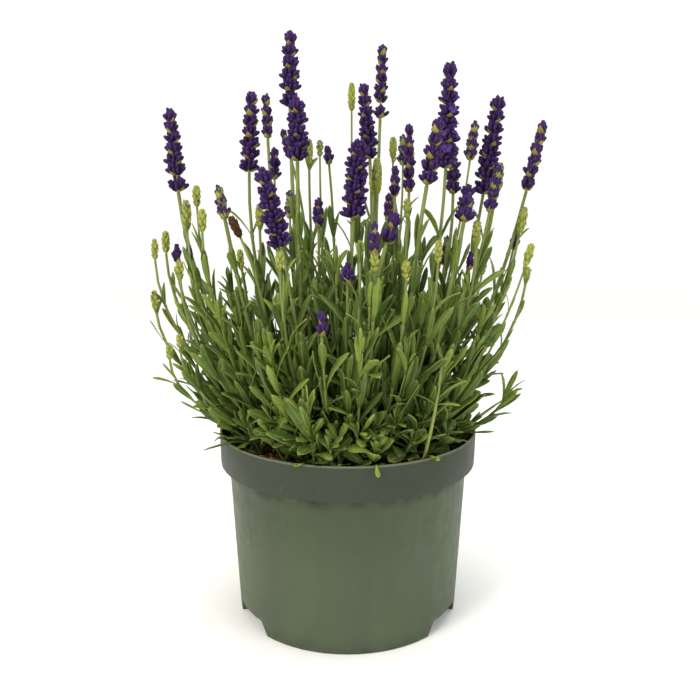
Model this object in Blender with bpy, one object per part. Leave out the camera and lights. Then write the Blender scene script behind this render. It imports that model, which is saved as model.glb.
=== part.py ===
"""A lavender plant in the moulded nursery pot that it was grown in.

Metres, +Z up. The origin is where the pot's axis meets the ground. The plant is built as it grows: a woody
crown in the middle of the potting soil, square flowering stems that fan out from it with a spike of whorls
on each, green stems whose buds are still shut, and leafy shoots round the outside.
"""

import math

import bmesh
import bpy
from mathutils import Matrix, Vector, noise

MM = 0.001
GAP = 0.0004

# The pot: a round tapered wall, a deeper collar round its mouth and a floor on three broad feet.
COLUMNS = 72
POT_HEIGHT = 0.140
RIM_RADIUS = 0.0950
COLLAR_FOOT_RADIUS = 0.0945
COLLAR_FOOT = 0.1150
BODY_TOP_RADIUS = 0.0884
BODY_FOOT_RADIUS = 0.0824
WALL = 0.0014
FLOOR = 0.0018
EDGE_ROUND = 0.0012
LIP_WIDTH = 0.0022
LIP_ROUND = 0.0006
LIP_DEPTH = 0.0030
LEDGE_RISE = 0.0020
LEDGE_DEPTH = 0.0010
TAPER = (BODY_TOP_RADIUS - BODY_FOOT_RADIUS) / COLLAR_FOOT

# Three arches are raised in the foot of the wall, and they run inwards to a raised disc.
ARCH_HEIGHT = 0.010
ARCH_FADES_AT = 0.018
ARCH_CENTRES = (-30, 90, -150)
ARCH_HALF_ANGLE = 13.8
ARCH_SIDE_ANGLE = 2.1
DISC_RADIUS = 0.026
DISC_SLOPE = 0.008

# Drain holes: one through each arch and three through the disc.
HOLE_RADIUS = 0.0045
HOLE_RINGS = ((0.056, 0), (0.016, 60))

SOIL_LEVEL = 0.1300
SOIL_ROUGHNESS = 0.0016
SOIL_GRAIN = 28
SOIL_SPREAD = 0.0015
SOIL_RINGS = (0.070, 0.045, 0.020)

CROWN_RADIUS = 0.0085
CROWN_HEIGHT = 0.024

# A stem leaves the soil at this share of the place of its tip, and never closer to the axis than the crown.
FOOT_SHARE = 0.34
FOOT_LEAST = 0.017
FOOT_SPLAY = 1.45
STEM_RADIUS = 0.0011
STEM_STATIONS = 8

WHORL_PITCH = 0.0085

# Each flowering stem, in millimetres: where its spike starts (x, y, z), the spike's length and radius, and
# how far the spike leans towards x and y for each millimetre that it rises.
FLOWERING_STEMS = (
    (-43, 45, 373, 53, 8.0, 0.01, 0.05),
    (-35, -5, 332, 41, 9.5, 0.01, -0.02),
    (-73, 30, 325, 56, 7.5, 0.05, 0.04),
    (-64, 85, 352, 34, 5.5, -0.03, 0.08),
    (-121, 5, 311, 56, 7.0, -0.07, 0.00),
    (-43, -55, 276, 49, 9.0, -0.23, -0.08),
    (-83, -30, 293, 21, 4.5, -0.17, -0.05),
    (17, 60, 335, 55, 7.5, -0.09, 0.05),
    (4, -35, 294, 49, 10.0, 0.07, -0.04),
    (26, 95, 368, 57, 6.0, 0.03, 0.06),
    (47, 50, 310, 50, 5.5, 0.00, 0.05),
    (68, -10, 327, 69, 8.5, 0.02, -0.02),
    (52, -45, 316, 41, 6.5, 0.16, -0.06),
    (78, 26, 309, 34, 6.5, -0.02, 0.05),
    (98, 12, 309, 67, 8.5, 0.14, 0.03),
    (125, -8, 312, 46, 5.5, 0.22, 0.00),
    (76, -52, 293, 17, 6.0, 0.17, -0.06),
    (25, -62, 279, 20, 6.0, 0.33, -0.10),
)

# The stems in bud, in the same terms.
BUD_STEMS = (
    (3, 78, 372, 22, 3.5, 0.00, 0.05),
    (-135, -16, 264, 14, 3.0, 0.02, -0.02),
    (117, -52, 263, 14, 3.4, 0.25, -0.08),
    (-22, 107, 262, 14, 3.2, -0.03, 0.10),
    (57, -78, 268, 13, 3.0, 0.00, -0.08),
)

# The leafy shoots stand in an oval ring, and each has pairs of leaves that cross at right angles.
SHOOTS = 11
SHOOT_TURN = 13
SHOOT_RING_X = 0.107
SHOOT_RING_Y = 0.094
SHOOT_HEIGHTS = (0.214, 0.200, 0.222, 0.206)
SHOOT_FOOT_SHARE = 0.56
SHOOT_RADIUS = 0.0010
LEAF_PAIRS = 4
LEAF_LENGTH = 0.030
LEAF_OPENING = 30
LEAF_WIDTH = 0.0046
LEAF_THICKNESS = 0.0009
LEAF_OUTLINE = ((0.12, 0.40), (0.60, 1.00), (1.00, 0.16))


def finish(name, bm, material):
    """Turns the faces outwards and makes the mesh a named object."""
    bmesh.ops.recalc_face_normals(bm, faces=bm.faces)
    mesh = bpy.data.meshes.new(name)
    bm.to_mesh(mesh)
    bm.free()
    mesh.shade_smooth()
    mesh.set_sharp_from_angle(angle=math.radians(40))
    mesh.materials.append(material)
    obj = bpy.data.objects.new(name, mesh)
    bpy.context.scene.collection.objects.link(obj)
    return obj


def matter(name, colour, roughness):
    """A non-metallic material in one colour."""
    material = bpy.data.materials.new(name)
    material.use_nodes = True
    shader = material.node_tree.nodes["Principled BSDF"]
    shader.inputs["Base Color"].default_value = (*colour, 1)
    shader.inputs["Roughness"].default_value = roughness
    shader.inputs["Metallic"].default_value = 0
    return material


def turned(points, columns):
    """The surface that an open outline of (radius, height) sweeps round the axis."""
    bm = bmesh.new()
    ring = [bm.verts.new((radius, 0, height)) for radius, height in points]
    edges = [bm.edges.new(pair) for pair in zip(ring, ring[1:])]
    bmesh.ops.spin(bm, geom=ring + edges, axis=(0, 0, 1), cent=(0, 0, 0), steps=columns, angle=math.tau)
    bmesh.ops.remove_doubles(bm, verts=bm.verts, dist=0.00001)
    return bm


def between(value, low, high):
    """How far the value has come from low to high, eased at both ends."""
    share = min(max((value - low) / (high - low), 0), 1)
    return share * share * (3 - 2 * share)


def arch_offset(angle):
    """The nearest arch centre, and the signed angle from it, in degrees."""
    offsets = [((angle - centre + 180) % 360 - 180, centre) for centre in ARCH_CENTRES]
    return min(offsets, key=lambda pair: abs(pair[0]))


def raise_arches(bm, spread):
    """Draws the columns together at the arches' sides, then lifts the floor and the foot of the wall there.
    What lies on the floor has its own arches spread a little wider, in metres, to stay clear of it."""
    step = 360 / COLUMNS
    edge = round(ARCH_HALF_ANGLE / step) * step
    knots = (0, edge - step, edge, edge + step, 60)
    half = ARCH_HALF_ANGLE + math.degrees(spread / BODY_FOOT_RADIUS) * 2
    places = (0, half - ARCH_SIDE_ANGLE, half, half + ARCH_SIDE_ANGLE, 60)
    for vert in bm.verts:
        radius = math.hypot(vert.co.x, vert.co.y)
        offset, centre = arch_offset(math.degrees(math.atan2(vert.co.y, vert.co.x)))
        index = max(i for i, knot in enumerate(knots[:-1]) if abs(offset) >= knot - 0.01)
        along = (abs(offset) - knots[index]) / (knots[index + 1] - knots[index])
        moved = places[index] + along * (places[index + 1] - places[index])
        angle = math.radians(centre + math.copysign(moved, offset))
        arch = 1 - between(moved, places[1], places[3])
        disc = 1 - between(radius, DISC_RADIUS + spread, DISC_RADIUS + DISC_SLOPE + spread)
        lift = ARCH_HEIGHT * max(arch, disc) * max(0, 1 - vert.co.z / ARCH_FADES_AT)
        if radius > BODY_FOOT_RADIUS - 3 * WALL:
            radius += TAPER * lift
        vert.co = (radius * math.cos(angle), radius * math.sin(angle), vert.co.z + lift)


def corner(radius, height, size, start, end):
    """Four points of a round corner whose centre is at (radius, height)."""
    turns = [math.radians(start + (end - start) * i / 3) for i in range(4)]
    return [(radius + size * math.cos(turn), height + size * math.sin(turn)) for turn in turns]


def make_pot():
    """The outline runs from the floor's underside, out and up the wall, over the lip and down inside."""
    inner_foot = BODY_FOOT_RADIUS + TAPER * FLOOR - WALL
    inner_top = BODY_TOP_RADIUS - WALL
    ledge = COLLAR_FOOT + LEDGE_RISE
    lip = RIM_RADIUS - LIP_WIDTH
    points = [(0, 0), (DISC_RADIUS, 0), (DISC_RADIUS + DISC_SLOPE / 2, 0), (DISC_RADIUS + DISC_SLOPE, 0)]
    points += corner(BODY_FOOT_RADIUS - EDGE_ROUND, EDGE_ROUND, EDGE_ROUND, -90, 0)
    points += [(BODY_FOOT_RADIUS + TAPER * ARCH_FADES_AT, ARCH_FADES_AT), (BODY_TOP_RADIUS, COLLAR_FOOT)]
    points += corner(COLLAR_FOOT_RADIUS - EDGE_ROUND, COLLAR_FOOT + EDGE_ROUND, EDGE_ROUND, -90, 0)
    points += corner(RIM_RADIUS - EDGE_ROUND, POT_HEIGHT - EDGE_ROUND, EDGE_ROUND, 0, 90)
    points += [(lip, POT_HEIGHT - LIP_ROUND), (lip, POT_HEIGHT - LIP_DEPTH)]
    points += [(COLLAR_FOOT_RADIUS - LIP_WIDTH, ledge + LEDGE_DEPTH), (inner_top, ledge)]
    points += [(inner_foot + TAPER * ARCH_FADES_AT, ARCH_FADES_AT), (inner_foot, FLOOR)]
    points += [(DISC_RADIUS + DISC_SLOPE, FLOOR), (DISC_RADIUS + DISC_SLOPE / 2, FLOOR)]
    points += [(DISC_RADIUS, FLOOR), (0, FLOOR)]
    bm = turned(points, COLUMNS)
    raise_arches(bm, 0)
    pot = finish("nursery_pot", bm, matter("sage_polypropylene", (0.115, 0.140, 0.085), 0.42))
    cut_drain_holes(pot)


def cut_drain_holes(pot):
    """One round bar for each hole, all in a hidden cutter."""
    bm = bmesh.new()
    for ring_radius, turn in HOLE_RINGS:
        for centre in ARCH_CENTRES:
            angle = math.radians(centre + turn)
            place = Matrix.Translation((ring_radius * math.cos(angle), ring_radius * math.sin(angle), ARCH_HEIGHT))
            bmesh.ops.create_cone(
                bm,
                cap_ends=True,
                segments=14,
                radius1=HOLE_RADIUS,
                radius2=HOLE_RADIUS,
                depth=ARCH_HEIGHT,
                matrix=place,
            )
    cutter = finish("drain_hole_cutter", bm, pot.data.materials[0])
    cutter.hide_render = True
    cutter.display_type = "WIRE"
    cut = pot.modifiers.new("drain_holes", "BOOLEAN")
    cut.operation = "DIFFERENCE"
    cut.object = cutter


def soil_top(x, y):
    """The height of the soil, which is gently uneven."""
    return SOIL_LEVEL + SOIL_ROUGHNESS * noise.noise(Vector((x * SOIL_GRAIN, y * SOIL_GRAIN, 0.5)))


def make_soil():
    """The soil fills the pot, a gap inside its wall and above its floor."""
    foot = BODY_FOOT_RADIUS + TAPER * FLOOR - WALL - GAP
    base = FLOOR + GAP
    shoulder = BODY_TOP_RADIUS - WALL - GAP
    brim = COLLAR_FOOT_RADIUS - LIP_WIDTH - GAP
    ledge = COLLAR_FOOT + LEDGE_RISE + GAP
    disc = DISC_RADIUS + SOIL_SPREAD
    points = [(0, base), (disc, base), (disc + DISC_SLOPE / 2, base), (disc + DISC_SLOPE, base)]
    points += [(foot, base), (foot + TAPER * ARCH_FADES_AT, ARCH_FADES_AT)]
    points += [(shoulder, ledge), (brim, ledge + LEDGE_DEPTH + GAP / 2), (brim, SOIL_LEVEL)]
    points += [(radius, SOIL_LEVEL) for radius in (*SOIL_RINGS, 0)]
    bm = turned(points, COLUMNS)
    raise_arches(bm, SOIL_SPREAD)
    for vert in bm.verts:
        if vert.co.z > SOIL_LEVEL - 0.0001:
            vert.co.z = soil_top(vert.co.x, vert.co.y)
    finish("potting_soil", bm, matter("peat", (0.035, 0.022, 0.014), 0.95))


def grow(stations, sides):
    """A closed body through level rings. Each station is (centre, radius), and the first is the lowest."""
    bm = bmesh.new()
    centre, radius = stations[0]
    start = bmesh.ops.create_circle(bm, cap_ends=True, segments=sides, radius=radius)
    bmesh.ops.translate(bm, verts=start["verts"], vec=centre)
    cap = start["verts"][0].link_faces[0]
    for level, (centre, radius) in enumerate(stations[1:]):
        grown = bmesh.ops.extrude_face_region(bm, geom=[cap])["geom"]
        if level > 0:
            bmesh.ops.delete(bm, geom=[cap], context="FACES_ONLY")
        cap = next(item for item in grown if isinstance(item, bmesh.types.BMFace))
        middle = cap.calc_center_median()
        share = radius / (cap.verts[0].co - middle).length
        for vert in cap.verts:
            vert.co = centre + (vert.co - middle) * share
    return bm


def foot_of(tip, share, least):
    """Where a stem with this tip leaves the soil: towards its tip, outside the crown."""
    flat = Vector((tip.x, tip.y, 0))
    foot = flat.normalized() * (least + share * flat.length)
    foot.z = max(soil_top(foot.x + dx, foot.y + dy) for dx in (-0.001, 0.001) for dy in (-0.001, 0.001)) + GAP
    return foot


def stem_line(foot, tip, lean):
    """Points up a stem: it splays at its foot and comes round to its lean at the tip."""
    rise = tip.z - foot.z
    start = FOOT_SPLAY * (tip - foot)
    end = Vector((lean[0] * rise, lean[1] * rise, rise))
    line = []
    for i in range(STEM_STATIONS + 1):
        t = i / STEM_STATIONS
        point = (1 + 2 * t) * (1 - t) ** 2 * foot + t * (1 - t) ** 2 * start
        point += t * t * (3 - 2 * t) * tip + t * t * (t - 1) * end
        point.z = foot.z + t * rise
        line.append(point)
    return line


def make_stem(name, tip, lean, material):
    foot = foot_of(tip, FOOT_SHARE, FOOT_LEAST)
    line = stem_line(foot, tip, lean)
    last = len(line) - 1
    stations = [(point, STEM_RADIUS * (1.15 - 0.35 * i / last)) for i, point in enumerate(line)]
    finish(name, grow(stations, 4), material)


def make_spike(name, start, length, radius, lean, material):
    """Whorls that flare upwards one above another, and close in to a blunt tip."""
    whorls = max(2, round(length / WHORL_PITCH))
    pitch = length / whorls
    along = Vector((lean[0], lean[1], 1))
    stations = []
    for i in range(whorls):
        wide = radius * (1 - 0.45 * between(i, whorls * 0.5, whorls)) * (0.85 if i == 0 else 1)
        low = start + along * (pitch * i)
        stations.append((low, 0.42 * wide))
        stations.append((low + along * (0.72 * pitch), wide))
    stations.append((start + along * length, 0.25 * radius))
    finish(name, grow(stations, 6), material)


def make_bud(name, start, length, radius, lean, material):
    """A tight cone of shut buds."""
    along = Vector((lean[0], lean[1], 1))
    outline = ((0, 0.45), (0.25, 0.95), (0.60, 1.00), (0.88, 0.60), (1.00, 0.20))
    stations = [(start + along * (share * length), wide * radius) for share, wide in outline]
    finish(name, grow(stations, 6), material)


def make_stems(rows, stem_name, head_name, make_head, stem_material, head_material):
    for number, (x, y, z, length, radius, lean_x, lean_y) in enumerate(rows, 1):
        tip = Vector((x, y, z)) * MM
        lean = (lean_x, lean_y)
        make_stem(f"{stem_name}_{number:02}", tip, lean, stem_material)
        start = tip + Vector((0, 0, GAP))
        make_head(f"{head_name}_{number:02}", start, length * MM, radius * MM, lean, head_material)


def grow_leaf(bm, face, outward, stem_run):
    """Draws a side face of a shoot out into a flat, pointed blade that opens away from the stem."""
    root = face.calc_center_median()
    opening = math.radians(LEAF_OPENING)
    run = (stem_run * math.cos(opening) + outward * math.sin(opening)).normalized()
    across = Vector((-outward.y, outward.x, 0))
    across = (across - run * across.dot(run)).normalized()
    upper = run.cross(across)
    for share, wide in LEAF_OUTLINE:
        face = bmesh.ops.extrude_discrete_faces(bm, faces=[face])["faces"][0]
        under_to_upper = sorted(face.verts, key=lambda vert: vert.co.dot(upper))
        for pair, top in ((under_to_upper[:2], -0.5), (under_to_upper[2:], 0.5)):
            pair.sort(key=lambda vert: vert.co.dot(across))
            for vert, side in zip(pair, (-0.5, 0.5)):
                vert.co = root + run * (share * LEAF_LENGTH)
                vert.co += across * (side * wide * LEAF_WIDTH) + upper * (top * LEAF_THICKNESS)


def make_shoot(name, tip, lean, material):
    foot = foot_of(tip, SHOOT_FOOT_SHARE, 0)
    line = stem_line(foot, tip, lean)
    bm = grow([(point, SHOOT_RADIUS) for point in line], 4)
    bm.faces.ensure_lookup_table()
    last = len(line) - 1
    for pair in range(LEAF_PAIRS):
        level = last - 1 - pair
        low, high = line[level].z, line[level + 1].z
        sides = [face for face in bm.faces if low < face.calc_center_median().z < high and len(face.verts) == 4]
        middle = (line[level] + line[level + 1]) / 2
        stem_run = (line[level + 1] - line[level]).normalized()
        sides = [face for face in sides if (face.calc_center_median() - middle).length < 2 * SHOOT_RADIUS]
        sides.sort(key=lambda face: math.atan2(*(face.calc_center_median() - middle).yx))
        for face in sides[pair % 2 :: 2]:
            outward = face.calc_center_median() - middle
            outward.z = 0
            grow_leaf(bm, face, outward.normalized(), stem_run)
    finish(name, bm, material)


def make_shoots(material):
    for number in range(SHOOTS):
        angle = math.radians(SHOOT_TURN + 360 * number / SHOOTS)
        height = SHOOT_HEIGHTS[number % len(SHOOT_HEIGHTS)]
        tip = Vector((SHOOT_RING_X * math.cos(angle), SHOOT_RING_Y * math.sin(angle), height))
        lean = (0.25 * math.cos(angle), 0.25 * math.sin(angle))
        make_shoot(f"leafy_shoot_{number + 1:02}", tip, lean, material)


def make_crown():
    """The old wood: a short knotty stub with the stumps of three cut branches."""
    base = max(soil_top(x * MM, y * MM) for x in (-8, 0, 8) for y in (-8, 0, 8)) + GAP
    outline = ((0, 1.00), (0.25, 0.82), (0.50, 0.90), (0.75, 0.70), (1.00, 0.45))
    stations = []
    for share, wide in outline:
        sway = 0.0015 * noise.noise(Vector((3 * share, 1.5, 0.5)))
        stations.append((Vector((sway, -sway, base + share * CROWN_HEIGHT)), wide * CROWN_RADIUS))
    bm = grow(stations, 9)
    level = base + 0.62 * CROWN_HEIGHT
    sides = [f for f in bm.faces if len(f.verts) == 4 and abs(f.calc_center_median().z - level) < 0.1 * CROWN_HEIGHT]
    sides.sort(key=lambda face: math.atan2(*face.calc_center_median().yx))
    for face in sides[::3]:
        outward = Vector((*face.calc_center_median().xy, 0)).normalized()
        for reach, share in ((0.0030, 0.80), (0.0035, 0.75)):
            face = bmesh.ops.extrude_discrete_faces(bm, faces=[face])["faces"][0]
            middle = face.calc_center_median()
            for vert in face.verts:
                vert.co = middle + (vert.co - middle) * share + outward * reach + Vector((0, 0, 0.8 * reach))
    finish("woody_crown", bm, matter("old_wood", (0.120, 0.080, 0.050), 0.85))


def main():
    for obj in list(bpy.data.objects):
        bpy.data.objects.remove(obj)
    make_pot()
    make_soil()
    make_crown()
    green = matter("green_stem", (0.220, 0.290, 0.100), 0.60)
    violet = matter("violet_calyx", (0.055, 0.022, 0.170), 0.75)
    bud_green = matter("green_bud", (0.300, 0.350, 0.080), 0.70)
    leaf_green = matter("leaf", (0.130, 0.230, 0.045), 0.50)
    make_stems(FLOWERING_STEMS, "flower_stem", "flower_spike", make_spike, green, violet)
    make_stems(BUD_STEMS, "bud_stem", "bud_head", make_bud, green, bud_green)
    make_shoots(leaf_green)


main()
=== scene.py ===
import math
import random

import bmesh
import bpy
from mathutils import Matrix, Vector, noise


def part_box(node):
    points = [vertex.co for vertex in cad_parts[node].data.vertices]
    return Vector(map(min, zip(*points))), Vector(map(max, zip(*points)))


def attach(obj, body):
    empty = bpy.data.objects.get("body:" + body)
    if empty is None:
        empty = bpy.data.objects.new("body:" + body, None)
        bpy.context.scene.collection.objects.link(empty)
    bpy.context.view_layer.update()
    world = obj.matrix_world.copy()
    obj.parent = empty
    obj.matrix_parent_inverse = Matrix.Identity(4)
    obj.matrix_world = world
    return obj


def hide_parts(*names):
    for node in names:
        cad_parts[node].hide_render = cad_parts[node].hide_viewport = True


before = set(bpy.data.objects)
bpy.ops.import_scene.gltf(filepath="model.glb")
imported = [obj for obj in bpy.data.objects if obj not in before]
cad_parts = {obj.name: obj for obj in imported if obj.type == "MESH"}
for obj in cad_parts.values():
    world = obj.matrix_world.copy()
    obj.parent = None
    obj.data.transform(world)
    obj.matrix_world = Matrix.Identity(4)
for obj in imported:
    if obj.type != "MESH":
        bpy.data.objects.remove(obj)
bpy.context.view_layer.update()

# ---------------------------------------------------------------------------------------------------------
# The studio: a camera level with the flower heads that looks down a little, a seamless round sweep of white
# paper, and soft light from a big box at the upper left, a weaker one at the right and one overhead.
# ---------------------------------------------------------------------------------------------------------
MM = 0.001
CAMERA_PLACE = (0.0017, -0.600, 0.3184)
CAMERA_PITCH = 0.1996
CAMERA_LENS = 42.75
SWEEP_RADIUS = 1.6
SWEEP_BEND = 0.7
SWEEP_TOP = 2.2
SWEEP_SIDES = 48


def linear(code):
    """An sRGB hex colour as the linear numbers that a shader takes."""
    parts = [int(code[i : i + 2], 16) / 255 for i in (1, 3, 5)]
    return (*[p / 12.92 if p <= 0.04045 else ((p + 0.055) / 1.055) ** 2.4 for p in parts], 1)


def add(tree, kind, inputs=None, **settings):
    """Adds a node. An input is given a value, or the output socket that feeds it."""
    made = tree.nodes.new(kind)
    for key, value in settings.items():
        setattr(made, key, value)
    for key, value in (inputs or {}).items():
        if isinstance(value, bpy.types.NodeSocket):
            tree.links.new(value, made.inputs[key])
        else:
            made.inputs[key].default_value = value
    return made


def begin_material(name, roughness, ior=1.45, specular=0.5):
    """A new material with its constant values on the shader, and the shader to link the rest to."""
    material = bpy.data.materials.new(name)
    material.use_nodes = True
    shader = material.node_tree.nodes["Principled BSDF"]
    shader.inputs["Roughness"].default_value = roughness
    shader.inputs["IOR"].default_value = ior
    shader.inputs["Specular IOR Level"].default_value = specular
    return material, material.node_tree, shader


def soft_box(name, place, aim, size, power, colour):
    """A round, even light that faces the point it is aimed at."""
    light = bpy.data.lights.new(name, "AREA")
    light.shape = "DISK"
    light.size = size
    light.energy = power
    light.color = linear(colour)[:3]
    lamp = bpy.data.objects.new(name, light)
    lamp.location = place
    lamp.rotation_euler = (Vector(aim) - Vector(place)).to_track_quat("-Z", "Y").to_euler()
    bpy.context.scene.collection.objects.link(lamp)


camera_data = bpy.data.cameras.new("camera")
camera_data.lens = CAMERA_LENS
camera_data.clip_start = 0.01
camera = bpy.data.objects.new("camera", camera_data)
camera.location = CAMERA_PLACE
camera.rotation_euler = (math.pi / 2 - CAMERA_PITCH, 0, 0)
bpy.context.scene.collection.objects.link(camera)
bpy.context.scene.camera = camera
bpy.context.scene.view_settings.view_transform = "Standard"

bm = bmesh.new()
line = [bm.verts.new((0, 0, 0)), bm.verts.new((SWEEP_RADIUS, 0, 0))]
for step in range(1, 13):
    turn = math.radians(90 * step / 12)
    along, up = SWEEP_BEND * math.sin(turn), SWEEP_BEND * (1 - math.cos(turn))
    line.append(bm.verts.new((SWEEP_RADIUS + along, 0, up)))
line.append(bm.verts.new((SWEEP_RADIUS + SWEEP_BEND, 0, SWEEP_TOP)))
edges = [bm.edges.new(pair) for pair in zip(line, line[1:])]
bmesh.ops.spin(
    bm,
    geom=line + edges,
    cent=(0, 0, 0),
    axis=(0, 0, 1),
    angle=math.tau,
    steps=SWEEP_SIDES,
    use_merge=True,
)
bmesh.ops.remove_doubles(bm, verts=bm.verts, dist=0.0001)
bmesh.ops.recalc_face_normals(bm, faces=bm.faces)
sweep_mesh = bpy.data.meshes.new("paper_sweep")
bm.to_mesh(sweep_mesh)
bm.free()
sweep_mesh.shade_smooth()
paper, tree, shader = begin_material("matte_background_paper", 0.9)
shader.inputs["Base Color"].default_value = linear("#FFFFFF")
sweep_mesh.materials.append(paper)
sweep = bpy.data.objects.new("paper_sweep", sweep_mesh)
bpy.context.scene.collection.objects.link(sweep)

world = bpy.data.worlds.new("studio_air")
world.use_nodes = True
world.node_tree.nodes["Background"].inputs["Color"].default_value = linear("#FFFFFF")
world.node_tree.nodes["Background"].inputs["Strength"].default_value = 0.49
bpy.context.scene.world = world
soft_box("window_box", (-1.1, -1.2, 1.25), (0, 0, 0.2), 0.8, 23, "#FFF9EC")
soft_box("fill_box", (1.3, -0.9, 0.7), (0, 0, 0.2), 0.9, 6, "#F4F7FF")
soft_box("top_box", (0.1, 0.1, 1.6), (0, 0, 0.2), 1.2, 14, "#FFFDF6")

# ---------------------------------------------------------------------------------------------------------
# Nursery pot: one thin injection moulding in sage green polypropylene, with a stepped collar for stacking,
# a rolled lip, three broad feet and drain holes. The shape is the frame's; a merged copy shades smoothly.
# ---------------------------------------------------------------------------------------------------------
POT_GREEN = "#4D5941"
POT_GREY = "#495143"
# Painted shade: the darker collar stands in for the shade of the leaves over it.
POT_COLLAR_SHADE = "#33372F"
# Real dust in the flecks, and also the painted highlight along the top of the lip.
POT_DUST_AND_HIGHLIGHT = "#868B76"
# Painted shade in the step under the collar, partly grimy, and the darker foot.
POT_SHADE_AND_GRIME = "#26271F"
COLLAR_AT = 0.1150
LIP_TOP = 0.1400


def hand_over(name, bm, materials, slot, *nodes):
    """Makes the mesh a piece of the object, in the materials given, standing for the nodes named. The slot is
    not used.
    """
    mesh = bpy.data.meshes.new(name)
    bm.to_mesh(mesh)
    bm.free()
    mesh.shade_smooth()
    for material in materials:
        mesh.materials.append(material)
    piece = bpy.data.objects.new(name, mesh)
    bpy.context.scene.collection.objects.link(piece)
    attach(piece, "root")
    if nodes:
        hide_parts(*nodes)
    return piece


def merged_copy(node):
    """The frame's own shape with its loose triangles joined up."""
    bm = bmesh.new()
    bm.from_mesh(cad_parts[node].data)
    bmesh.ops.remove_doubles(bm, verts=bm.verts, dist=0.000005)
    return bm


def surface(tree, shader, colour, relief, strength, depth):
    """Gives the shader its colour, and a relief this deep in metres."""
    tree.links.new(colour.outputs[2], shader.inputs["Base Color"])
    bump = add(tree, "ShaderNodeBump", {"Height": relief.outputs[0], "Strength": strength, "Distance": depth})
    tree.links.new(bump.outputs[0], shader.inputs["Normal"])


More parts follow.
